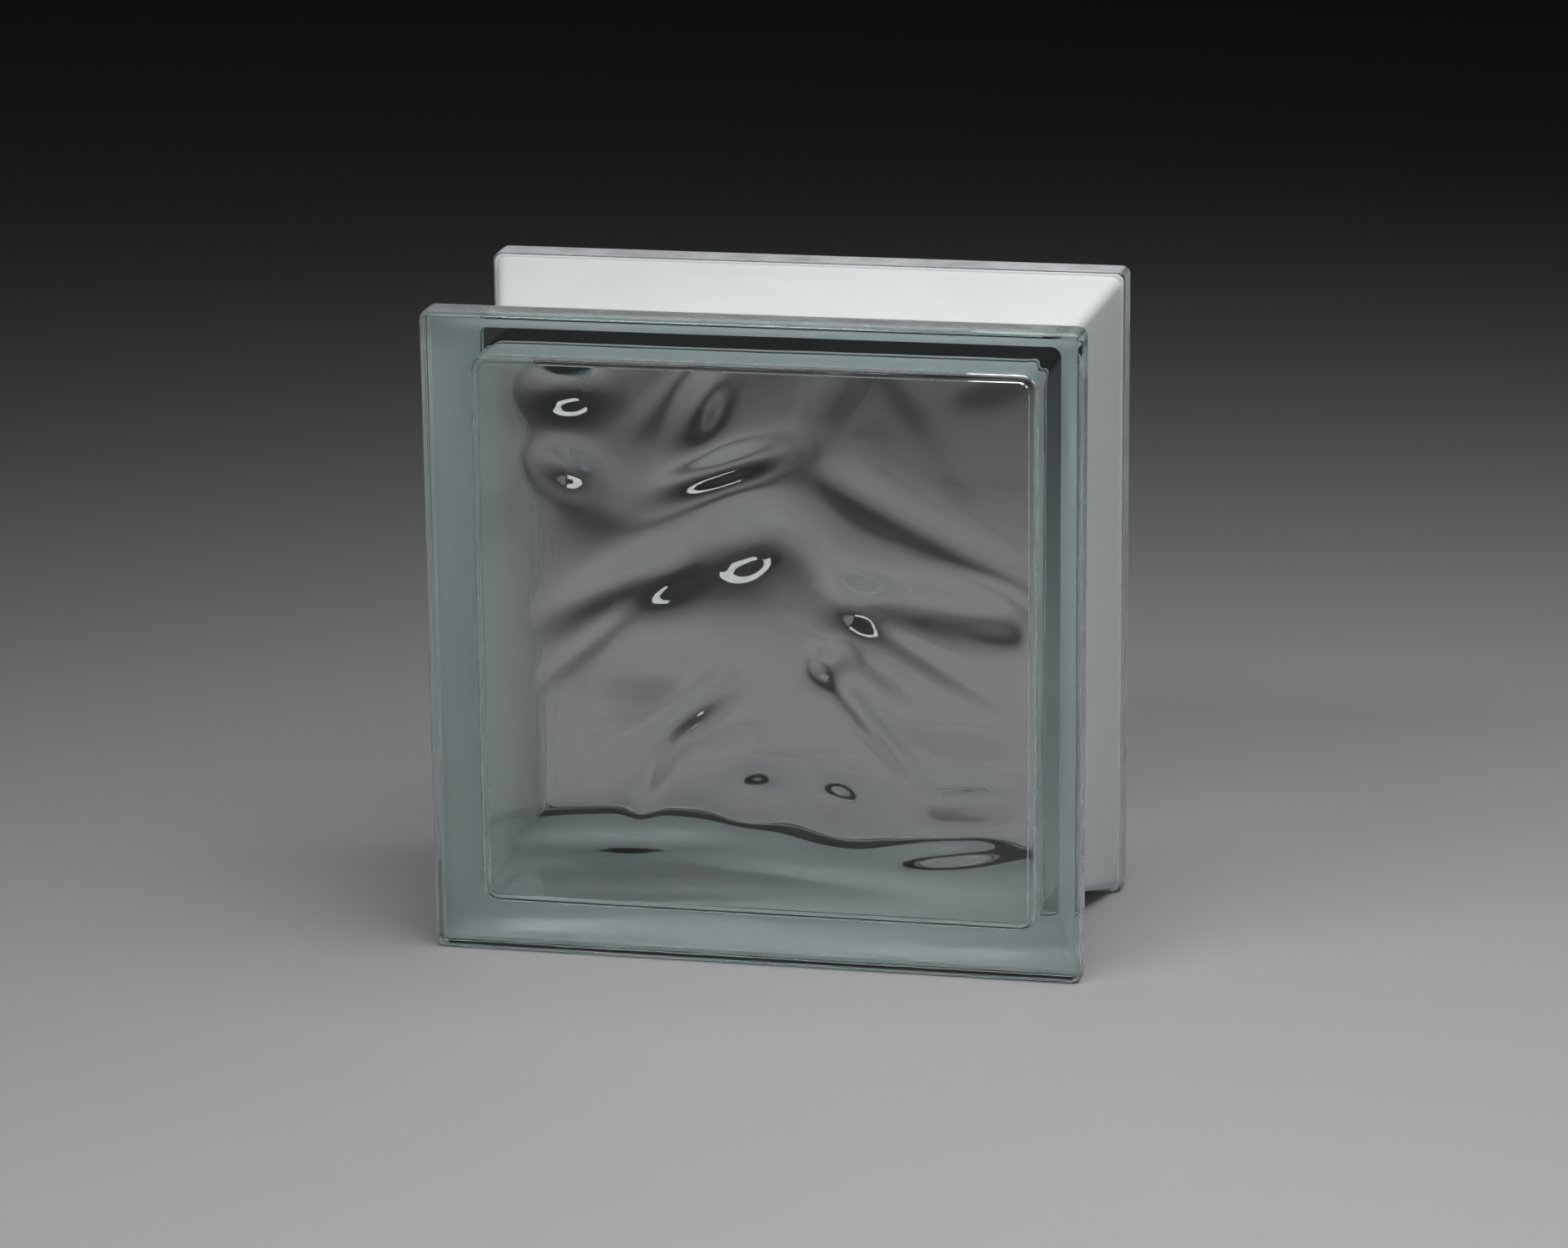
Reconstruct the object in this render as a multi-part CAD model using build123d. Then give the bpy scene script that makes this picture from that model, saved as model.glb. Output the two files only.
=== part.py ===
from build123d import *
from dataclasses import dataclass
from math import cos, exp, radians, sin
import os

os.makedirs("parts", exist_ok=True)

# A hollow glass block for walls, standing on its edge as it is laid.
# Two pressed glass halves are fused rim to rim, and a white coat covers the recess
# that runs round the four edges and takes the mortar.
# X runs along the width, Y through the depth and Z up. The front face looks towards -Y.
# The origin is at the middle of the footprint, on the floor.

# Overall size
block_width = 190.0
block_height = 190.0
block_depth = 95.0

# Lips: the edges of the two plates, which stand proud of the side walls
lip_thickness = 11.0
lip_corner_radius = 2.5
face_edge_radius = 1.8
step_edge_radius = 0.6

# Recess between the lips: shallow beside a lip, and deepest on the straight land at the seam
recess_at_lip = 1.8
recess_depth = 9.9
recess_corner_radius = 3.0
seam_land = 6.0
seam_edge_radius = 0.5

# Glass of one half: a flat plate, and four walls that thin towards the seam
plate_thickness = 8.5
wall_at_seam = 2.8
cavity_draft = 0.5
cavity_corner_radius = 5.0
plate_fillet_radius = 2.0

# Wavy field on the inner side of each plate, set a little into the glass, with the power that
# its border fades by and the distance from the outer face that clears its highest swell
field_margin = 0.3
field_drop = 0.5
field_fade = 24
field_bar_end = 24.0

# White coat on the recess floor and on the steps of the lips
coat_thickness = 0.6
coat_edge_gap = 0.6

# Points at which the wavy field is worked out
field_point_spacing = 2.5


@dataclass(frozen=True)
class Swell:
    """One soft ridge of thicker glass, or a hollow where the height is negative."""

    across: float
    up: float
    turn: float
    half_length: float
    half_width: float
    height: float

    def height_at(self, x, z):
        """Height of this ridge at a point x along the width and z above the middle."""
        dx = x - self.across
        dz = z - self.up
        along = dx * cos(radians(self.turn)) + dz * sin(radians(self.turn))
        beside = dz * cos(radians(self.turn)) - dx * sin(radians(self.turn))
        return self.height * exp(-(along / self.half_length) ** 2 - (beside / self.half_width) ** 2)


# Swells of the front plate and of the back plate, seen from the front
front_swells = [
    Swell(across=-48.0, up=12.0, turn=30.0, half_length=16.0, half_width=6.0, height=2.4),
    Swell(across=-27.0, up=19.0, turn=38.0, half_length=13.0, half_width=9.0, height=4.1),
    Swell(across=-4.0, up=29.0, turn=20.0, half_length=13.0, half_width=11.0, height=5.0),
    Swell(across=14.0, up=27.0, turn=-42.0, half_length=18.0, half_width=7.0, height=2.0),
    Swell(across=50.0, up=13.0, turn=-6.0, half_length=30.0, half_width=7.0, height=2.4),
    Swell(across=-15.0, up=69.0, turn=70.0, half_length=13.0, half_width=6.0, height=3.0),
    Swell(across=-9.0, up=51.0, turn=20.0, half_length=18.0, half_width=5.0, height=3.3),
    Swell(across=-54.0, up=74.0, turn=10.0, half_length=12.0, half_width=9.0, height=4.2),
    Swell(across=-54.0, up=50.0, turn=-20.0, half_length=9.0, half_width=6.0, height=2.9),
    Swell(across=28.0, up=11.0, turn=30.0, half_length=10.0, half_width=8.0, height=2.6),
    Swell(across=22.0, up=-4.0, turn=40.0, half_length=7.0, half_width=5.0, height=2.3),
    Swell(across=-28.0, up=-10.0, turn=-10.0, half_length=16.0, half_width=12.0, height=2.9),
    Swell(across=-20.0, up=-22.0, turn=38.0, half_length=16.0, half_width=4.0, height=1.9),
    Swell(across=-30.0, up=-38.0, turn=70.0, half_length=12.0, half_width=4.0, height=1.8),
    Swell(across=-36.0, up=-66.0, turn=4.0, half_length=44.0, half_width=12.0, height=2.8),
    Swell(across=62.0, up=-44.0, turn=5.0, half_length=16.0, half_width=5.0, height=1.7),
    Swell(across=34.0, up=-22.0, turn=-50.0, half_length=24.0, half_width=3.5, height=1.4),
    Swell(across=0.0, up=-44.0, turn=20.0, half_length=7.0, half_width=5.0, height=2.2),
    Swell(across=24.0, up=-46.0, turn=-20.0, half_length=7.0, half_width=5.0, height=2.2),
    Swell(across=-48.0, up=-2.0, turn=40.0, half_length=16.0, half_width=3.0, height=1.0),
    Swell(across=50.0, up=-2.0, turn=-30.0, half_length=22.0, half_width=3.0, height=1.1),
    Swell(across=-40.0, up=-62.0, turn=3.0, half_length=30.0, half_width=3.0, height=0.7),
    Swell(across=20.0, up=-70.0, turn=-4.0, half_length=30.0, half_width=3.0, height=0.7),
    Swell(across=56.0, up=-60.0, turn=8.0, half_length=14.0, half_width=3.0, height=0.9),
]
back_swells = [
    Swell(across=40.0, up=13.0, turn=-26.0, half_length=34.0, half_width=6.0, height=2.6),
    Swell(across=14.0, up=27.0, turn=-35.0, half_length=16.0, half_width=7.0, height=2.6),
    Swell(across=-26.0, up=25.0, turn=36.0, half_length=18.0, half_width=6.0, height=2.8),
    Swell(across=-64.0, up=22.0, turn=-22.0, half_length=30.0, half_width=12.0, height=3.6),
    Swell(across=6.0, up=54.0, turn=60.0, half_length=20.0, half_width=7.0, height=2.6),
    Swell(across=20.0, up=-26.0, turn=-40.0, half_length=20.0, half_width=5.0, height=1.7),
    Swell(across=-44.0, up=-50.0, turn=20.0, half_length=30.0, half_width=9.0, height=2.4),
    Swell(across=44.0, up=-58.0, turn=-10.0, half_length=30.0, half_width=9.0, height=2.2),
    Swell(across=64.0, up=-12.0, turn=-30.0, half_length=16.0, half_width=4.0, height=1.4),
    Swell(across=30.0, up=60.0, turn=-60.0, half_length=20.0, half_width=7.0, height=2.0),
    Swell(across=-40.0, up=52.0, turn=35.0, half_length=18.0, half_width=6.0, height=2.2),
    Swell(across=56.0, up=62.0, turn=20.0, half_length=14.0, half_width=6.0, height=2.0),
]

# Sizes that follow from the ones above, as insets from the lip's rim and distances from the face
half_depth = block_depth / 2
block_middle = block_height / 2
land_start = half_depth - seam_land
cavity_at_seam = recess_depth + wall_at_seam
cavity_at_plate = cavity_at_seam + cavity_draft
field_inset = cavity_at_plate + plate_fillet_radius + field_margin
field_corner_radius = cavity_corner_radius - plate_fillet_radius
field_width = block_width - 2 * field_inset
field_height = block_height - 2 * field_inset

# Each half is drawn from its outer face inwards, with its own Z axis towards the seam
front_plane = Plane(origin=(0, -half_depth, block_middle), x_dir=(-1, 0, 0), z_dir=(0, 1, 0))
back_plane = Plane(origin=(0, half_depth, block_middle), x_dir=(1, 0, 0), z_dir=(0, -1, 0))


def section(inset, radius, distance):
    """Face with rounded corners, at an inset from the lip's rim and a distance from the outer face."""
    outline = RectangleRounded(block_width - 2 * inset, block_height - 2 * inset, radius)
    return (Pos(0, 0, distance) * outline).face()


def prism(inset, radius, start, end):
    """Upright bar between two distances from the outer face."""
    return extrude(section(inset, radius, start), end - start)


def recess_body(proud, start):
    """Solid inside the recess of one half, up to the seam, or proud of the recess by a coat."""
    shallow = section(recess_at_lip - proud, recess_corner_radius, start)
    deep = section(recess_depth - proud, recess_corner_radius, land_start)
    land = prism(recess_depth - proud, recess_corner_radius, land_start, half_depth)
    return loft([shallow, deep]) + land


def outer_body():
    """Plate with its lip and the solid that the walls are left from."""
    lip = prism(0, lip_corner_radius, 0, lip_thickness)
    lip = fillet(lip.faces().sort_by(Axis.Z)[0].edges(), face_edge_radius)
    lip = fillet(lip.faces().sort_by(Axis.Z)[-1].edges(), step_edge_radius)
    walls = recess_body(0, lip_thickness)
    walls = fillet(walls.faces().sort_by(Axis.Z)[-1].edges(), seam_edge_radius)
    return lip + walls


def cavity():
    """Hollow of one half, wider at the seam than at the plate."""
    at_plate = section(cavity_at_plate, cavity_corner_radius, plate_thickness)
    at_seam = section(cavity_at_seam, cavity_corner_radius, half_depth)
    hollow = loft([at_plate, at_seam])
    return fillet(hollow.faces().sort_by(Axis.Z)[0].edges(), plate_fillet_radius)


def fade(x, z):
    """Factor that brings the waves down to nothing at the field's border."""
    across = min(1, abs(2 * x / field_width)) ** field_fade
    up = min(1, abs(2 * z / field_height)) ** field_fade
    return (1 - across) * (1 - up)


def wavy_hollow(swells, side):
    """What is hollow over the wavy field, from the glass surface to the middle of the block.

    side is 1 where the half's own X axis runs along the block's, and -1 where it runs back.
    """
    sheet_width = field_width + 2 * field_point_spacing
    sheet_height = field_height + 2 * field_point_spacing
    columns = round(sheet_width / field_point_spacing)
    rows = round(sheet_height / field_point_spacing)
    points = []
    for column in range(columns + 1):
        x = sheet_width * (column / columns - 0.5)
        line = []
        for row in range(rows + 1):
            z = sheet_height * (row / rows - 0.5)
            wave = fade(x, z) * sum(swell.height_at(side * x, z) for swell in swells)
            line.append(Vector(x, z, plate_thickness - field_drop + wave))
        points.append(line)
    surface = Face.make_surface_from_array_of_points(points)
    return extrude(surface, half_depth, dir=(0, 0, 1)) & field_bar()


def field_bar():
    """Bar that stands on the wavy field's outline, from the outer face to past its highest swell."""
    return prism(field_inset, field_corner_radius, 0, field_bar_end)


def glass_half(swells, side):
    """One pressed half, drawn from its outer face inwards."""
    return outer_body() - (cavity() - field_bar()) - wavy_hollow(swells, side)


def half_coat():
    """White coat of one half: a thin layer on the recess floor and on the lip's step."""
    step_end = lip_thickness + coat_thickness
    filled = prism(coat_edge_gap, lip_corner_radius, lip_thickness, half_depth)
    coated = recess_body(coat_thickness, lip_thickness)
    channel = prism(0, lip_corner_radius, step_end, half_depth) - coated
    return filled - channel - recess_body(0, lip_thickness)


front_half = front_plane * glass_half(front_swells, -1)
back_half = back_plane * glass_half(back_swells, 1)
edge_coating = front_plane * half_coat() + back_plane * half_coat()

for name, piece in [
    ("front_half", front_half),
    ("back_half", back_half),
    ("edge_coating", edge_coating),
]:
    piece.label = name
    export_step(piece, f"parts/{name}.step")
    print(name, "volume", round(piece.volume / 1000, 1), "cm3")
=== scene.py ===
"""A hollow glass wall block: one fused body of glass with wavy inner faces, and its white coat."""

from dataclasses import dataclass, field
from enum import Enum
import logging
import math
from typing import Any, Sequence

import bpy
from mathutils import Matrix, Vector
import numpy as np


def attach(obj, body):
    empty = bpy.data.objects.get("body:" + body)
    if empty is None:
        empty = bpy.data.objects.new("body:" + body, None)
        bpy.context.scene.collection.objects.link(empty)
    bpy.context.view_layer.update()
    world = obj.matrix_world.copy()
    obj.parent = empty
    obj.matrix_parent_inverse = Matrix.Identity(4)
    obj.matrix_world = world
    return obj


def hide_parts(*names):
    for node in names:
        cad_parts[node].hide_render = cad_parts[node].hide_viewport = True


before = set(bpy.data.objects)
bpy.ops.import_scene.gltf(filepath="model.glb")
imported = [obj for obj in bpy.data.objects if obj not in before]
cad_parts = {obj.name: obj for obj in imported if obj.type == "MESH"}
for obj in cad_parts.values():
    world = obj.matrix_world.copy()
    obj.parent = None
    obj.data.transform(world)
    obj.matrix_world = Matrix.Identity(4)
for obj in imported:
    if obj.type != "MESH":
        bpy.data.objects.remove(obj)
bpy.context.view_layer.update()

LOG = logging.getLogger("glass_block")
MM = 0.001
CREASE_ANGLE = 35.0
BUMP_STRENGTH = 0.5
Array = np.ndarray


class Facing(Enum):
    """Which way a plate's inner side looks, as a sign along Y."""

    FRONT_PLATE = 1
    BACK_PLATE = -1


@dataclass(frozen=True)
class Swell:
    """One soft ridge of thicker glass, or a hollow where its height is negative. Sizes in mm.

    The ridge is a bell in two directions: its height falls off with the square of the way
    along it and beside it, as an exponential.
    """

    across: float
    up: float
    turn: float
    half_length: float
    half_width: float
    height: float

    def height_at(self, x: Array, z: Array) -> Array:
        """Gives the ridge's height over points of the plate.

        Args:
            x: Places along the width, from the middle.
            z: Places up the height, from the middle.

        Returns:
            The height at each point.
        """
        turn = math.radians(self.turn)
        dx, dz = x - self.across, z - self.up
        along = dx * math.cos(turn) + dz * math.sin(turn)
        beside = dz * math.cos(turn) - dx * math.sin(turn)
        fall = (along / self.half_length) ** 2 + (beside / self.half_width) ** 2
        return self.height * np.exp(-fall)


# Swells of the front plate and of the back plate, seen from the front
FRONT_SWELLS = (
    Swell(across=-48.0, up=12.0, turn=30.0, half_length=16.0, half_width=6.0, height=2.4),
    Swell(across=-27.0, up=19.0, turn=38.0, half_length=13.0, half_width=9.0, height=4.1),
    Swell(across=-4.0, up=29.0, turn=20.0, half_length=13.0, half_width=11.0, height=5.0),
    Swell(across=14.0, up=27.0, turn=-42.0, half_length=18.0, half_width=7.0, height=2.0),
    Swell(across=50.0, up=13.0, turn=-6.0, half_length=30.0, half_width=7.0, height=2.4),
    Swell(across=-15.0, up=69.0, turn=70.0, half_length=13.0, half_width=6.0, height=3.0),
    Swell(across=-9.0, up=51.0, turn=20.0, half_length=18.0, half_width=5.0, height=3.3),
    Swell(across=-54.0, up=74.0, turn=10.0, half_length=12.0, half_width=9.0, height=4.2),
    Swell(across=-54.0, up=50.0, turn=-20.0, half_length=9.0, half_width=6.0, height=2.9),
    Swell(across=28.0, up=11.0, turn=30.0, half_length=10.0, half_width=8.0, height=2.6),
    Swell(across=22.0, up=-4.0, turn=40.0, half_length=7.0, half_width=5.0, height=2.3),
    Swell(across=-28.0, up=-10.0, turn=-10.0, half_length=16.0, half_width=12.0, height=2.9),
    Swell(across=-20.0, up=-22.0, turn=38.0, half_length=16.0, half_width=4.0, height=1.9),
    Swell(across=-30.0, up=-38.0, turn=70.0, half_length=12.0, half_width=4.0, height=1.8),
    Swell(across=-36.0, up=-66.0, turn=4.0, half_length=44.0, half_width=12.0, height=2.8),
    Swell(across=62.0, up=-44.0, turn=5.0, half_length=16.0, half_width=5.0, height=1.7),
    Swell(across=34.0, up=-22.0, turn=-50.0, half_length=24.0, half_width=3.5, height=1.4),
    Swell(across=0.0, up=-44.0, turn=20.0, half_length=7.0, half_width=5.0, height=2.2),
    Swell(across=24.0, up=-46.0, turn=-20.0, half_length=7.0, half_width=5.0, height=2.2),
    Swell(across=-48.0, up=-2.0, turn=40.0, half_length=16.0, half_width=3.0, height=1.0),
    Swell(across=50.0, up=-2.0, turn=-30.0, half_length=22.0, half_width=3.0, height=1.1),
    Swell(across=-40.0, up=-62.0, turn=3.0, half_length=30.0, half_width=3.0, height=0.7),
    Swell(across=20.0, up=-70.0, turn=-4.0, half_length=30.0, half_width=3.0, height=0.7),
    Swell(across=56.0, up=-60.0, turn=8.0, half_length=14.0, half_width=3.0, height=0.9),
)
BACK_SWELLS = (
    Swell(across=40.0, up=13.0, turn=-26.0, half_length=34.0, half_width=6.0, height=2.6),
    Swell(across=14.0, up=27.0, turn=-35.0, half_length=16.0, half_width=7.0, height=2.6),
    Swell(across=-26.0, up=25.0, turn=36.0, half_length=18.0, half_width=6.0, height=2.8),
    Swell(across=-64.0, up=22.0, turn=-22.0, half_length=30.0, half_width=12.0, height=3.6),
    Swell(across=6.0, up=54.0, turn=60.0, half_length=20.0, half_width=7.0, height=2.6),
    Swell(across=20.0, up=-26.0, turn=-40.0, half_length=20.0, half_width=5.0, height=1.7),
    Swell(across=-44.0, up=-50.0, turn=20.0, half_length=30.0, half_width=9.0, height=2.4),
    Swell(across=44.0, up=-58.0, turn=-10.0, half_length=30.0, half_width=9.0, height=2.2),
    Swell(across=64.0, up=-12.0, turn=-30.0, half_length=16.0, half_width=4.0, height=1.4),
    Swell(across=30.0, up=60.0, turn=-60.0, half_length=20.0, half_width=7.0, height=2.0),
    Swell(across=-40.0, up=52.0, turn=35.0, half_length=18.0, half_width=6.0, height=2.2),
    Swell(across=56.0, up=62.0, turn=20.0, half_length=14.0, half_width=6.0, height=2.0),
)


@dataclass(frozen=True)
class BlockSizes:
    """Sizes of the block and of its section, in mm. The fade is a power without a unit."""

    width: float = 190.0
    height: float = 190.0
    depth: float = 95.0
    lip_thickness: float = 11.0
    lip_corner: float = 2.5
    face_edge: float = 1.8
    step_edge: float = 0.6
    recess_at_lip: float = 1.8
    recess: float = 9.9
    recess_corner: float = 3.0
    seam_land: float = 6.0
    seam_edge: float = 0.5
    plate: float = 8.5
    wall_at_seam: float = 2.8
    cavity_draft: float = 0.5
    cavity_corner: float = 5.0
    plate_fillet: float = 2.0
    field_margin: float = 0.3
    field_drop: float = 0.5
    field_fade: int = 24
    coat: float = 0.6
    coat_edge_gap: float = 0.6

    @property
    def half_depth(self) -> float:
        """Depth of one pressed half."""
        return self.depth / 2

    @property
    def land_start(self) -> float:
        """Distance from the face at which the recess floor stops sloping."""
        return self.half_depth - self.seam_land

    @property
    def cavity_at_seam(self) -> float:
        """Inset of the cavity's wall at the seam."""
        return self.recess + self.wall_at_seam

    @property
    def cavity_at_plate(self) -> float:
        """Inset of the cavity's wall where it would meet the plate."""
        return self.cavity_at_seam + self.cavity_draft

    @property
    def field_inset(self) -> float:
        """Inset of the wavy field."""
        return self.cavity_at_plate + self.plate_fillet + self.field_margin

    @property
    def field_corner(self) -> float:
        """Corner radius of the wavy field."""
        return self.cavity_corner - self.plate_fillet

    @property
    def field_half(self) -> tuple[float, float]:
        """Half the wavy field's width and height."""
        return self.width / 2 - self.field_inset, self.height / 2 - self.field_inset


@dataclass(frozen=True)
class SquareLoop:
    """Points round a square with round corners, which rings of any size share.

    A point of a ring is the sum of two parts: its share of the straight half sides, from -1
    to 1, times the ring's own ones, and its outward direction times the ring's corner radius.
    """

    middle: Array
    outward: Array

    def ring(self, half_width: float, half_height: float, corner: float, y: float) -> Array:
        """Makes one ring of the loop.

        Args:
            half_width: Half the ring's width.
            half_height: Half the ring's height.
            corner: Radius of its corners.
            y: Its place along the depth.

        Returns:
            An array of one point per row, in mm from the block's middle.
        """
        x = self.middle[:, 0] * (half_width - corner) + self.outward[:, 0] * corner
        z = self.middle[:, 1] * (half_height - corner) + self.outward[:, 1] * corner
        return np.stack([x, np.full_like(x, y), z], axis=1)


class MeshParts:
    """Collects points and faces as whole arrays and makes one mesh of them."""

    def __init__(self) -> None:
        """Starts with nothing."""
        self.points: list[Array] = []
        self.quads: list[Array] = []
        self.caps: list[list[int]] = []
        self.total = 0

    def add_points(self, points: Array) -> Array:
        """Adds points and gives their numbers in the same layout.

        Args:
            points: Points in mm, with x, y and z on the last axis.

        Returns:
            The points' numbers, shaped as the points are.
        """
        flat = points.reshape(-1, 3)
        numbers = self.total + np.arange(len(flat))
        self.points.append(flat)
        self.total += len(flat)
        return numbers.reshape(points.shape[:-1])

    def add_grid(self, numbers: Array, closed: bool, flip: bool) -> None:
        """Fills a grid of point numbers with quads.

        Args:
            numbers: Point numbers, one ring or row after another.
            closed: True where the last point of each row meets the first.
            flip: True to turn the faces round.
        """
        after = np.roll(numbers, -1, axis=1) if closed else numbers[:, 1:]
        here = numbers if closed else numbers[:, :-1]
        quads = np.stack([here[:-1], after[:-1], after[1:], here[1:]], axis=-1).reshape(-1, 4)
        self.quads.append(quads[:, ::-1] if flip else quads)

    def add_cap(self, numbers: Array, flip: bool) -> None:
        """Closes a flat ring with one face.

        Args:
            numbers: The ring's point numbers.
            flip: True to turn the face round.
        """
        self.caps.append([int(n) for n in (numbers[::-1] if flip else numbers)])

    def build(self, name: str, lift: float) -> bpy.types.Object:
        """Makes the object, in metres and standing on the floor.

        Args:
            name: The piece's name.
            lift: Height of the block's middle above the floor, in mm.

        Returns:
            The new object, linked into the scene.
        """
        points = (np.concatenate(self.points) + (0.0, 0.0, lift)) * MM
        quads = np.concatenate(self.quads)
        mesh = bpy.data.meshes.new(name)
        mesh.from_pydata(points.tolist(), [], quads.tolist() + self.caps)
        mesh.polygons.foreach_set("use_smooth", np.ones(len(mesh.polygons), bool))
        mesh.set_sharp_from_angle(angle=math.radians(CREASE_ANGLE))
        mesh.update()
        piece = bpy.data.objects.new(name, mesh)
        bpy.context.scene.collection.objects.link(piece)
        return piece


def arc(start: float, end: float, count: int) -> Array:
    """Gives angles in radians from one angle in degrees to another, both ends included."""
    return np.radians(np.linspace(start, end, count))


@dataclass(frozen=True)
class WavyField:
    """The wavy inner side of one plate, over a square grid with round corners."""

    sizes: BlockSizes
    swells: Sequence[Swell]
    facing: Facing
    corner_cells: int = 6
    straight_cells: int = 136

    def steps(self, half: float) -> Array:
        """Places the grid's lines along one side, closer together in the corners.

        Args:
            half: Half the side.

        Returns:
            The lines' places, from the middle of the side.
        """
        flat = half - self.sizes.field_corner
        low = np.linspace(-half, -flat, self.corner_cells + 1)[:-1]
        middle = np.linspace(-flat, flat, self.straight_cells + 1)
        return np.concatenate([low, middle, -low[::-1]])

    def grid(self) -> tuple[Array, Array]:
        """Lays the grid's points out over the field.

        A corner square is pressed onto a quarter disc: each point keeps its direction from
        the square's inner corner, and its distance becomes the larger of its two offsets.

        Returns:
            The x and z of each point, with x along the first axis.
        """
        half_w, half_h = self.sizes.field_half
        corner = self.sizes.field_corner
        x, z = np.meshgrid(self.steps(half_w), self.steps(half_h), indexing="ij")
        over_x = np.maximum(np.abs(x) - (half_w - corner), 0.0)
        over_z = np.maximum(np.abs(z) - (half_h - corner), 0.0)
        reach = np.hypot(over_x, over_z)
        both = (over_x > 0) & (over_z > 0)
        scale = np.where(both, np.maximum(over_x, over_z) / np.where(reach > 0, reach, 1.0), 1.0)
        return x - np.sign(x) * over_x * (1 - scale), z - np.sign(z) * over_z * (1 - scale)

    def wave(self, x: Array, z: Array) -> Array:
        """Gives the height of the waves over the field's level.

        It is the sum of all the swells, times a factor for each direction that falls from
        one to nothing at the border: one less a high power of the share of the way to it.

        Args:
            x: Places along the width, from the middle.
            z: Places up the height, from the middle.

        Returns:
            The height at each point.
        """
        half_w, half_h = self.sizes.field_half
        power = self.sizes.field_fade
        across = 1 - np.minimum(np.abs(x / half_w), 1) ** power
        upright = 1 - np.minimum(np.abs(z / half_h), 1) ** power
        total = sum((swell.height_at(x, z) for swell in self.swells), np.zeros_like(x))
        return across * upright * total

    def depth(self, x: Array, z: Array) -> Array:
        """Gives the glass surface's place along Y: the plate's level, less the drop, plus the wave.

        Args:
            x: Places along the width, from the middle.
            z: Places up the height, from the middle.

        Returns:
            The place along Y at each point.
        """
        s = self.sizes
        inward = s.half_depth - (s.plate - s.field_drop + self.wave(x, z))
        return -inward * self.facing.value

    def outline(self) -> tuple[SquareLoop, Array]:
        """Works out the loop that follows the grid's edge.

        Each edge point is held to the straight part of its side, and what is left of its
        place points outwards.

        Returns:
            The loop, and the numbers of the grid's edge points in the order of the loop.
        """
        x, z = self.grid()
        numbers = np.arange(x.size).reshape(x.shape)
        order = np.concatenate(
            [numbers[-1, :-1], numbers[::-1, -1][:-1], numbers[0, ::-1][:-1], numbers[:-1, 0]]
        )
        edge = np.stack([x.ravel()[order], z.ravel()[order]], axis=1)
        flat = np.array(self.sizes.field_half) - self.sizes.field_corner
        middle = np.clip(edge, -flat, flat)
        offset = edge - middle
        outward = offset / np.linalg.norm(offset, axis=1, keepdims=True)
        return SquareLoop(middle / flat, outward), order


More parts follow.
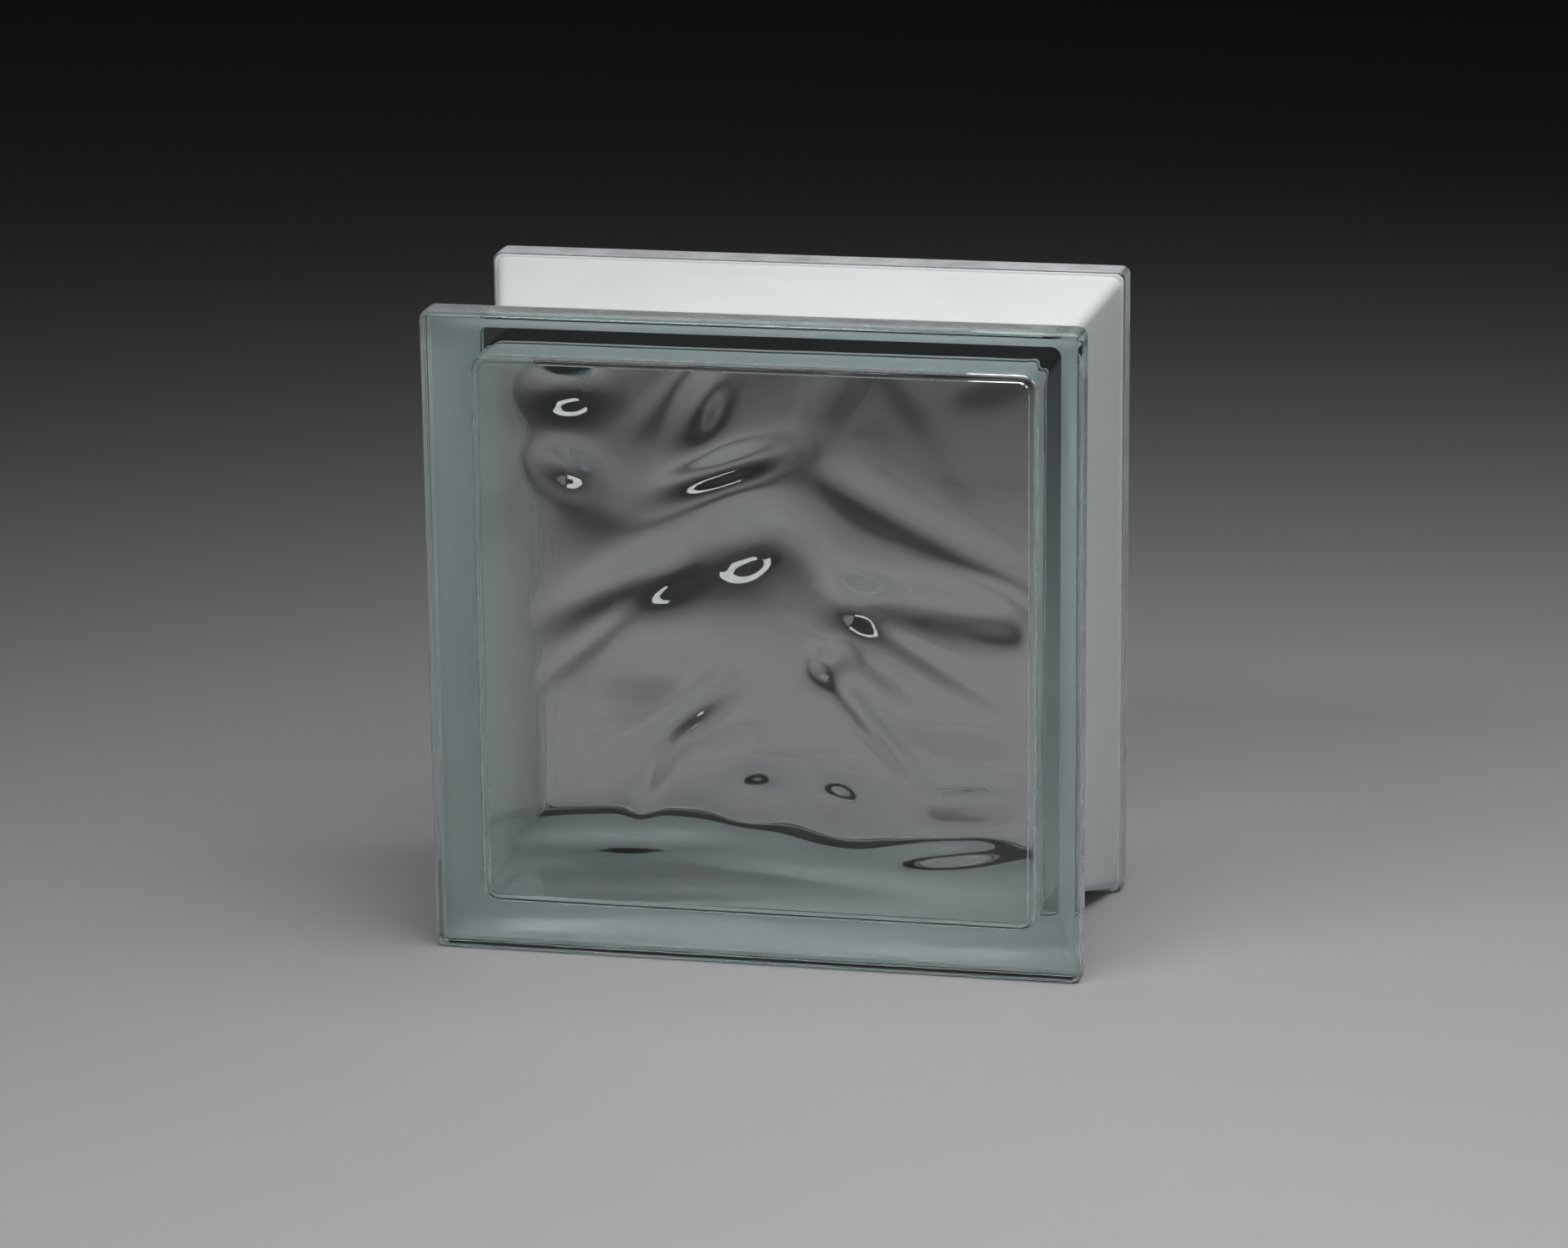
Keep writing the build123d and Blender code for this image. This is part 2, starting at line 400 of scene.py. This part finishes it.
@dataclass
class GlassBody:
    """Both pressed halves as the one body of glass that fusing makes of them. Sizes in mm.

    A support is a narrow band of faces beside an edge, which keeps the shading flat there.
    """

    sizes: BlockSizes
    name: str = "glass_body"
    fillet_steps: int = 7
    edge_steps: int = 6
    slope_steps: int = 5
    support: float = 0.4
    sharpest_corner: float = 0.5
    seam_bend: float = 0.3
    wave_border: float = 0.3

    def front_field(self) -> WavyField:
        """The waves of the front plate."""
        return WavyField(self.sizes, FRONT_SWELLS, Facing.FRONT_PLATE)

    def back_field(self) -> WavyField:
        """The waves of the back plate."""
        return WavyField(self.sizes, BACK_SWELLS, Facing.BACK_PLATE)

    def loop(self) -> SquareLoop:
        """The loop that all the block's rings share."""
        return self.front_field().outline()[0]

    def outer_profile(self) -> Array:
        """Section of one half's outside, from its face to the seam.

        The face's edge is a quarter circle, the lip's rim is straight, the step's edge is a
        small quarter circle, and the recess floor runs to the seam.

        Returns:
            Rows of inset from the lip's rim, distance from the face, and corner radius.
        """
        s = self.sizes
        support = self.support
        turn = arc(0, 90, self.edge_steps + 1)
        face = np.stack(
            [s.face_edge * (1 - np.sin(turn)), s.face_edge * (1 - np.cos(turn))], axis=1
        )
        step = np.stack(
            [
                s.step_edge * (1 - np.cos(turn)),
                s.lip_thickness - s.step_edge * (1 - np.sin(turn)),
            ],
            axis=1,
        )
        seam = s.half_depth - s.seam_edge
        slope = np.linspace(s.lip_thickness, s.land_start, self.slope_steps)
        slope = np.sort(np.append(slope, s.land_start - support))
        lean = (s.recess - s.recess_at_lip) / (s.land_start - s.lip_thickness)
        floor = np.stack([s.recess_at_lip + lean * (slope - s.lip_thickness), slope], axis=1)
        rest = [
            (s.recess, s.land_start + support),
            (s.recess, seam - support),
            (s.recess, seam),
            (s.recess + self.seam_bend * s.seam_edge, seam + (1 - self.seam_bend) * s.seam_edge),
            (s.recess + s.seam_edge, s.half_depth),
        ]
        start = [(s.face_edge + 2 * support, 0.0), (s.face_edge + support, 0.0)]
        lip = np.concatenate([start, face, step])
        section = np.concatenate([lip, floor, rest])
        corner = np.maximum(s.lip_corner - section[:, 0], self.sharpest_corner)
        corner[len(lip):] = s.recess_corner
        return np.concatenate([section, corner[:, None]], axis=1)

    def cavity_profile(self) -> Array:
        """Section of one half's cavity, from the field's edge to the seam.

        The fillet is a quarter circle tangent to the plate and to the wall, which leans out
        by its draft on its way to the seam.

        Returns:
            Rows of inset from the lip's rim, distance from the face, and corner radius.
        """
        s = self.sizes
        foot = s.cavity_at_plate
        turn = arc(0, 90, self.fillet_steps + 1)
        fillet = np.stack(
            [
                foot + s.plate_fillet * (1 - np.sin(turn)),
                s.plate + s.plate_fillet * (1 - np.cos(turn)),
            ],
            axis=1,
        )
        bottom, top = s.plate + s.plate_fillet, s.half_depth
        down = np.array([bottom + self.support, (bottom + top) / 2, top])
        lean = s.cavity_draft * (down - bottom) / (top - bottom)
        wall = np.stack([foot - lean, down], axis=1)
        margin = [(s.field_inset, s.plate)]
        section = np.concatenate([margin, fillet, wall])
        corner = np.clip(s.cavity_corner + foot - section[:, 0], s.field_corner, s.cavity_corner)
        return np.concatenate([section, corner[:, None]], axis=1)

    def rings(self, loop: SquareLoop, profile: Array, facing: Facing) -> Array:
        """Carries a section round the loop.

        Args:
            loop: The loop that the rings share.
            profile: Rows of inset, distance from the face, and corner radius.
            facing: Which half the rings belong to.

        Returns:
            Points with one ring per row.
        """
        s = self.sizes
        return np.stack(
            [
                loop.ring(
                    s.width / 2 - inset,
                    s.height / 2 - inset,
                    corner,
                    -facing.value * (s.half_depth - down),
                )
                for inset, down, corner in profile
            ]
        )

    def add_outside(self, parts: MeshParts, loop: SquareLoop) -> None:
        """Adds the outer skin: rings from the front face to the back one, and both faces.

        Args:
            parts: The mesh to add to.
            loop: The loop that the rings share.
        """
        outer = self.outer_profile()
        front_rings = self.rings(loop, outer, Facing.FRONT_PLATE)
        back_rings = self.rings(loop, outer, Facing.BACK_PLATE)
        skin = parts.add_points(np.concatenate([front_rings, back_rings[-2::-1]]))
        parts.add_grid(skin, closed=True, flip=True)
        parts.add_cap(skin[0], flip=False)
        parts.add_cap(skin[-1], flip=True)

    def add_waves(self, parts: MeshParts, waves: WavyField, edge: Array) -> None:
        """Adds the waves of one plate, and joins them to the cavity's edge all round.

        Args:
            parts: The mesh to add to.
            waves: The plate's waves.
            edge: Point numbers of the cavity's ring that they end at.
        """
        back = waves.facing is Facing.BACK_PLATE
        shrink = 1 - self.wave_border / self.sizes.field_half[0]
        x, z = (side * shrink for side in waves.grid())
        numbers = parts.add_points(np.stack([x, waves.depth(x, z), z], axis=-1))
        parts.add_grid(numbers, closed=False, flip=back)
        rim = numbers.ravel()[waves.outline()[1]]
        parts.add_grid(np.stack([rim, edge]), closed=True, flip=back)

    def add_cavity(self, parts: MeshParts, loop: SquareLoop) -> None:
        """Adds the closed skin of the cavity: rings from plate to plate, and both wavy fields.

        Args:
            parts: The mesh to add to.
            loop: The loop that the rings share.
        """
        inner = self.cavity_profile()
        front_rings = self.rings(loop, inner, Facing.FRONT_PLATE)
        back_rings = self.rings(loop, inner, Facing.BACK_PLATE)
        skin = parts.add_points(np.concatenate([front_rings, back_rings[-2::-1]]))
        parts.add_grid(skin, closed=True, flip=False)
        self.add_waves(parts, self.front_field(), skin[0])
        self.add_waves(parts, self.back_field(), skin[-1])

    def build(self) -> bpy.types.Object:
        """Makes the outer skin and the cavity's skin, as one mesh.

        Returns:
            The glass body.
        """
        parts = MeshParts()
        loop = self.loop()
        self.add_outside(parts, loop)
        self.add_cavity(parts, loop)
        return parts.build(self.name, self.sizes.height / 2)

    def dress(self, glass: bpy.types.Object, finish: "GlassFinish") -> None:
        """Gives the glass its finish, hangs it from the root body, and hides the model's two
        halves.

        Args:
            glass: The glass body.
            finish: Its finish.
        """
        glass.data.materials.append(finish.material())
        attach(glass, "root")
        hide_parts("front_half", "back_half")


class Wire:
    """A shader socket on which Python's operators add Math nodes."""

    def __init__(self, shader: "Shader", socket: bpy.types.NodeSocket) -> None:
        """Wraps a socket of a shader's tree."""
        self.shader = shader
        self.socket = socket

    def output(self, name: str) -> "Wire":
        """Another output of the same node."""
        return Wire(self.shader, self.socket.node.outputs[name])

    def math(self, operation: str, *others: "Value") -> "Wire":
        """Adds one Math node with this value first.

        Args:
            operation: What the node works out.
            others: Its further values, or links.

        Returns:
            The node's output.
        """
        inputs = {0: self, **dict(enumerate(others, 1))}
        return self.shader.add("ShaderNodeMath", {"operation": operation}, inputs)

    def __add__(self, other: "Value") -> "Wire":
        """Sum with a value or another socket."""
        return self.math("ADD", other)

    __radd__ = __add__

    def __mul__(self, other: "Value") -> "Wire":
        """Product with a value or another socket."""
        return self.math("MULTIPLY", other)

    __rmul__ = __mul__

    def __sub__(self, other: "Value") -> "Wire":
        """This value less another."""
        return self.math("SUBTRACT", other)

    def __rsub__(self, other: "Value") -> "Wire":
        """Another value less this one."""
        return self.shader.add("ShaderNodeMath", {"operation": "SUBTRACT"}, {0: other, 1: self})


Value = Wire | float | Sequence[float]


class Shader:
    """One material's node tree, with one method that makes every node."""

    def __init__(self, tree: bpy.types.NodeTree) -> None:
        """Empties the tree."""
        self.tree = tree
        tree.nodes.clear()

    def add(
        self,
        kind: str,
        settings: dict[str, Any] | None = None,
        inputs: dict[Any, Value] | None = None,
        output: Any = 0,
    ) -> Wire:
        """Makes a node, sets it up and links it.

        Args:
            kind: The node's type.
            settings: Its own settings, set before its sockets.
            inputs: Values or links of its input sockets, by name or number.
            output: Which output to give back.

        Returns:
            The node's output.
        """
        node = self.tree.nodes.new(kind)
        for name, value in (settings or {}).items():
            setattr(node, name, value)
        for name, value in (inputs or {}).items():
            if isinstance(value, Wire):
                self.tree.links.new(value.socket, node.inputs[name])
            else:
                node.inputs[name].default_value = value
        sockets = node.outputs if len(node.outputs) else node.inputs
        return Wire(self, sockets[output])

    def place(self) -> Wire:
        """Place on the piece, in metres."""
        return self.add("ShaderNodeTexCoord", output="Object")

    def noise(self, scale: float, detail: float) -> Wire:
        """Adds a soft noise over the piece.

        Args:
            scale: How fine it is, in cells a metre.
            detail: How many finer layers it has.

        Returns:
            The noise, from 0 to 1.
        """
        inputs = {"Vector": self.place(), "Scale": scale, "Detail": detail}
        return self.add("ShaderNodeTexNoise", None, inputs, "Fac")

    def bump(self, height: Wire, distance: float) -> Wire:
        """Adds a relief to the shading.

        Args:
            height: Its height, from 0 to 1.
            distance: What a height of 1 is, in metres.

        Returns:
            The normal.
        """
        inputs = {"Height": height, "Distance": distance, "Strength": BUMP_STRENGTH}
        return self.add("ShaderNodeBump", None, inputs)


@dataclass(frozen=True)
class CoatFinish:
    """Matte white resin coat with a fine grain, which lets some light through."""

    name: str = "white_coat"
    pale: tuple[float, float, float] = (0.97, 0.98, 0.985)
    grey: tuple[float, float, float] = (0.86, 0.875, 0.885)
    passing: float = 0.42
    roughness: float = 0.85
    ior: float = 1.45
    cloud_scale: float = 45.0
    cloud_detail: float = 4.0
    grain_scale: float = 1500.0
    grain_detail: float = 2.0
    grain_height: float = 0.00012

    def surface(self, shader: Shader) -> Wire:
        """Adds the coat's nodes.

        Args:
            shader: The node tree to add them to.

        Returns:
            The coat's surface.
        """
        cloud = shader.noise(self.cloud_scale, self.cloud_detail)
        tone = shader.add(
            "ShaderNodeMix",
            {"data_type": "RGBA"},
            {"Factor": cloud, "A": (*self.pale, 1.0), "B": (*self.grey, 1.0)},
            "Result",
        )
        grain = shader.noise(self.grain_scale, self.grain_detail)
        matte = shader.add(
            "ShaderNodeBsdfPrincipled",
            None,
            {
                "Base Color": tone,
                "Roughness": self.roughness,
                "IOR": self.ior,
                "Normal": shader.bump(grain, self.grain_height),
            },
        )
        through = shader.add("ShaderNodeBsdfTranslucent", None, {"Color": (*self.pale, 1.0)})
        return shader.add("ShaderNodeMixShader", None, {0: self.passing, 1: matte, 2: through})

    def material(self) -> bpy.types.Material:
        """Makes the material.

        Returns:
            The coat's material.
        """
        material = bpy.data.materials.new(self.name)
        material.use_nodes = True
        shader = Shader(material.node_tree)
        shader.add("ShaderNodeOutputMaterial", None, {"Surface": self.surface(shader)})
        return material


@dataclass(frozen=True)
class GlassFinish:
    """Clear pressed glass with a faint green tint, and thin overspray on the lips' rims."""

    sizes: BlockSizes
    coat: CoatFinish
    name: str = "pressed_glass"
    ior: float = 1.52
    roughness: float = 0.0
    absorbed_colour: tuple[float, float, float] = (0.25, 0.53, 0.50)
    absorbed_per_metre: float = 9.5
    ripple_scale: float = 38.0
    ripple_detail: float = 1.0
    ripple_height: float = 0.00025
    rim_reach: float = 0.5
    spray_front: float = 0.25
    spray_back: float = 0.70
    spray_scale: float = 90.0
    spray_detail: float = 3.0

    def overspray(self, shader: Shader) -> Wire:
        """Adds the share of the rims that the coat's spray covers.

        It is 1 at a rim and 0 a little way in, times a share that is larger on the back lip,
        and a soft noise breaks it up.

        Args:
            shader: The node tree to add the nodes to.

        Returns:
            The share, 0 away from the rims.
        """
        half_width = self.sizes.width / 2 * MM
        half_height = self.sizes.height / 2 * MM
        split = shader.add("ShaderNodeSeparateXYZ", None, {0: shader.place()}, "X")
        across = split.math("ABSOLUTE") - half_width
        up = (split.output("Z") - half_height).math("ABSOLUTE") - half_height
        near = across.math("MAXIMUM", up) * (1.0 / (self.rim_reach * MM)) + 1.0
        behind = split.output("Y").math("GREATER_THAN", 0.0)
        broken = shader.noise(self.spray_scale, self.spray_detail) + 0.5
        share = behind * (self.spray_back - self.spray_front) + self.spray_front
        return (near.math("MAXIMUM", 0.0) * share * broken).math("MINIMUM", 1.0)

    def material(self) -> bpy.types.Material:
        """Makes the material.

        Returns:
            The glass, with the spray on its rims.
        """
        material = bpy.data.materials.new(self.name)
        material.use_nodes = True
        shader = Shader(material.node_tree)
        ripple = shader.noise(self.ripple_scale, self.ripple_detail)
        surface = shader.add(
            "ShaderNodeBsdfPrincipled",
            None,
            {
                "Base Color": (1.0, 1.0, 1.0, 1.0),
                "Roughness": self.roughness,
                "IOR": self.ior,
                "Transmission Weight": 1.0,
                "Normal": shader.bump(ripple, self.ripple_height),
            },
        )
        spray = self.overspray(shader)
        white = self.coat.surface(shader)
        sprayed = shader.add("ShaderNodeMixShader", None, {0: spray, 1: surface, 2: white})
        volume = shader.add(
            "ShaderNodeVolumeAbsorption",
            None,
            {"Color": (*self.absorbed_colour, 1.0), "Density": self.absorbed_per_metre},
        )
        shader.add("ShaderNodeOutputMaterial", None, {"Surface": sprayed, "Volume": volume})
        return material


@dataclass
class EdgeCoat:
    """The white coat that lines the recess all round. Sizes in mm."""

    sizes: BlockSizes
    name: str = "white_edge_coat"
    bite: float = 0.05
    rim_bevel: float = 0.2
    rim_share: float = 0.6
    land_bend: float = 0.6

    def profile(self) -> Array:
        """Closed section of the coat: a shallow channel, from its outside round to its inside.

        Returns:
            Rows of inset from the lip's rim, place along the depth, and corner radius.
        """
        s = self.sizes
        step = s.half_depth - s.lip_thickness
        land = s.seam_land
        gap, t, b, bend = s.coat_edge_gap, s.coat, self.bite, self.land_bend
        lean = (s.recess - s.recess_at_lip) / (step - land)
        foot = s.recess_at_lip - t + lean * t
        outside = [
            (gap, step - self.rim_share * t),
            (gap + self.rim_bevel, step - t),
            (foot, step - t),
            (s.recess - t - bend * lean, land + bend),
            (s.recess - t, land),
            (s.recess - t, land - bend),
        ]
        inside = [
            (s.recess + b, land),
            (s.recess_at_lip + b, step + b),
            (gap, step + b),
        ]
        outer = [(i, -y) for i, y in outside] + [(i, y) for i, y in outside[::-1]]
        inner = [(i, y) for i, y in inside[::-1]] + [(i, -y) for i, y in inside]
        section = np.array(outer + inner)
        corner = np.where(section[:, 0] < foot, s.lip_corner, s.recess_corner)
        return np.concatenate([section, corner[:, None]], axis=1)

    def build(self, loop: SquareLoop) -> bpy.types.Object:
        """Carries the section round the block and closes it on itself.

        Args:
            loop: The loop that the glass body's rings share.

        Returns:
            The coat.
        """
        s = self.sizes
        parts = MeshParts()
        rings = np.stack(
            [
                loop.ring(s.width / 2 - inset, s.height / 2 - inset, corner, y)
                for inset, y, corner in self.profile()
            ]
        )
        numbers = parts.add_points(rings)
        parts.add_grid(np.concatenate([numbers, numbers[:1]]), closed=True, flip=True)
        return parts.build(self.name, s.height / 2)

    def dress(self, coat: bpy.types.Object, finish: CoatFinish) -> None:
        """Gives the coat its finish, hangs it from the root body, and hides the model's edge
        coating.

        Args:
            coat: The coat.
            finish: Its finish.
        """
        coat.data.materials.append(finish.material())
        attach(coat, "root")
        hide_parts("edge_coating")


@dataclass(frozen=True)
class Camera:
    """The photograph's camera, placed from the middle of the front face.

    Sizes are in mm, angles in degrees, and the focal length and the frame in pixels.
    """

    across: float = 312.0
    before: float = 1434.0
    above: float = 418.0
    azimuth: float = 11.89
    elevation: float = 15.63
    roll: float = -0.57
    focal_pixels: float = 6437.0
    frame_width: float = 1880.0
    sensor: float = 36.0

    def build(self, sizes: BlockSizes) -> None:
        """Makes the camera and gives it to the scene.

        Args:
            sizes: The block's sizes.
        """
        az, el, roll = (math.radians(a) for a in (self.azimuth, self.elevation, self.roll))
        ahead = Vector((-math.sin(az) * math.cos(el), math.cos(az) * math.cos(el), -math.sin(el)))
        right = Vector((math.cos(az), math.sin(az), 0.0))
        up = right.cross(ahead)
        turned = right * math.cos(roll) + up * math.sin(roll)
        upright = up * math.cos(roll) - right * math.sin(roll)
        data = bpy.data.cameras.new("camera")
        data.sensor_width = self.sensor
        data.lens = self.focal_pixels / self.frame_width * self.sensor
        camera = bpy.data.objects.new("camera", data)
        face_middle = Vector((0.0, -sizes.half_depth, sizes.height / 2))
        place = (face_middle + Vector((self.across, -self.before, self.above))) * MM
        turn = Matrix((turned, upright, -ahead)).transposed()
        camera.matrix_world = Matrix.Translation(place) @ turn.to_4x4()
        bpy.context.scene.collection.objects.link(camera)
        bpy.context.scene.camera = camera


@dataclass(frozen=True)
class Lamp:
    """One soft box lamp. Places and sizes in metres, power in watts, spread in degrees."""

    name: str
    place: tuple[float, float, float]
    size: tuple[float, float]
    power: float
    aim: tuple[float, float, float]
    spread: float = 180.0

    def build(self) -> None:
        """Makes the lamp and turns it towards its aim."""
        data = bpy.data.lights.new(self.name, "AREA")
        data.shape = "RECTANGLE"
        data.size, data.size_y = self.size
        data.energy = self.power
        data.spread = math.radians(self.spread)
        lamp = bpy.data.objects.new(self.name, data)
        place = Vector(self.place)
        turn = (Vector(self.aim) - place).to_track_quat("-Z", "Y")
        lamp.matrix_world = Matrix.Translation(place) @ turn.to_matrix().to_4x4()
        bpy.context.scene.collection.objects.link(lamp)


@dataclass
class Studio:
    """Plain floor, lamps, world and camera, and how often a ray may meet a surface.

    The box above lights the floor and the coat, and the strip at the front left gives the
    glints in the waves. The floor's size is in metres.
    """

    sizes: BlockSizes
    floor_half: float = 6.0
    floor_colour: tuple[float, float, float] = (0.34, 0.34, 0.337)
    floor_roughness: float = 0.7
    floor_shine: float = 0.3
    world_colour: tuple[float, float, float] = (0.004, 0.004, 0.004)
    all_bounces: int = 28
    glass_bounces: int = 24
    mirror_bounces: int = 12
    matte_bounces: int = 8
    lamps: Sequence[Lamp] = field(
        default_factory=lambda: (
            Lamp(
                name="top_box",
                place=(0.30, -0.25, 0.85),
                size=(0.7, 0.9),
                power=3.9,
                aim=(0.30, -0.25, 0.0),
                spread=110.0,
            ),
            Lamp(
                name="strip",
                place=(-0.45, -0.60, 0.75),
                size=(0.7, 0.18),
                power=5.0,
                aim=(-0.45, -0.60, 0.0),
            ),
        )
    )

    def build_floor(self) -> None:
        """Makes the floor."""
        half = self.floor_half
        mesh = bpy.data.meshes.new("studio_floor")
        corners = [(-half, -half, 0.0), (half, -half, 0.0), (half, half, 0.0), (-half, half, 0.0)]
        mesh.from_pydata(corners, [], [(0, 1, 2, 3)])
        floor = bpy.data.objects.new("studio_floor", mesh)
        bpy.context.scene.collection.objects.link(floor)
        material = bpy.data.materials.new("studio_floor")
        material.use_nodes = True
        shader = Shader(material.node_tree)
        surface = shader.add(
            "ShaderNodeBsdfPrincipled",
            None,
            {
                "Base Color": (*self.floor_colour, 1.0),
                "Roughness": self.floor_roughness,
                "Specular IOR Level": self.floor_shine,
            },
        )
        shader.add("ShaderNodeOutputMaterial", None, {"Surface": surface})
        mesh.materials.append(material)

    def build_world(self) -> None:
        """Makes the nearly dark room round the set."""
        world = bpy.data.worlds.new("studio")
        world.use_nodes = True
        dim = Shader(world.node_tree)
        colour = (*self.world_colour, 1.0)
        glow = dim.add("ShaderNodeBackground", None, {"Color": colour, "Strength": 1.0})
        dim.add("ShaderNodeOutputWorld", None, {"Surface": glow})
        bpy.context.scene.world = world

    def set_light_paths(self) -> None:
        """Lets light through every wall of the glass, and leaves the glints that it throws."""
        cycles = bpy.context.scene.cycles
        cycles.max_bounces = self.all_bounces
        cycles.transmission_bounces = self.glass_bounces
        cycles.glossy_bounces = self.mirror_bounces
        cycles.diffuse_bounces = self.matte_bounces
        cycles.use_denoising = True
        cycles.blur_glossy = 0.0
        cycles.sample_clamp_indirect = 0.0

    def build(self) -> None:
        """Makes the whole set."""
        self.build_floor()
        for lamp in self.lamps:
            lamp.build()
        self.build_world()
        self.set_light_paths()
        bpy.context.scene.view_settings.view_transform = "Standard"
        Camera().build(self.sizes)


def main() -> None:
    """Builds the block and its studio."""
    logging.basicConfig(level=logging.INFO, format="%(name)s: %(message)s")
    sizes = BlockSizes()
    white = CoatFinish()
    body = GlassBody(sizes)
    glass = body.build()
    body.dress(glass, GlassFinish(sizes, white))
    LOG.info("%s: %d faces", glass.name, len(glass.data.polygons))
    lining = EdgeCoat(sizes)
    coat = lining.build(body.loop())
    lining.dress(coat, white)
    LOG.info("%s: %d faces", coat.name, len(coat.data.polygons))
    Studio(sizes).build()


if __name__ == "__main__":
    main()
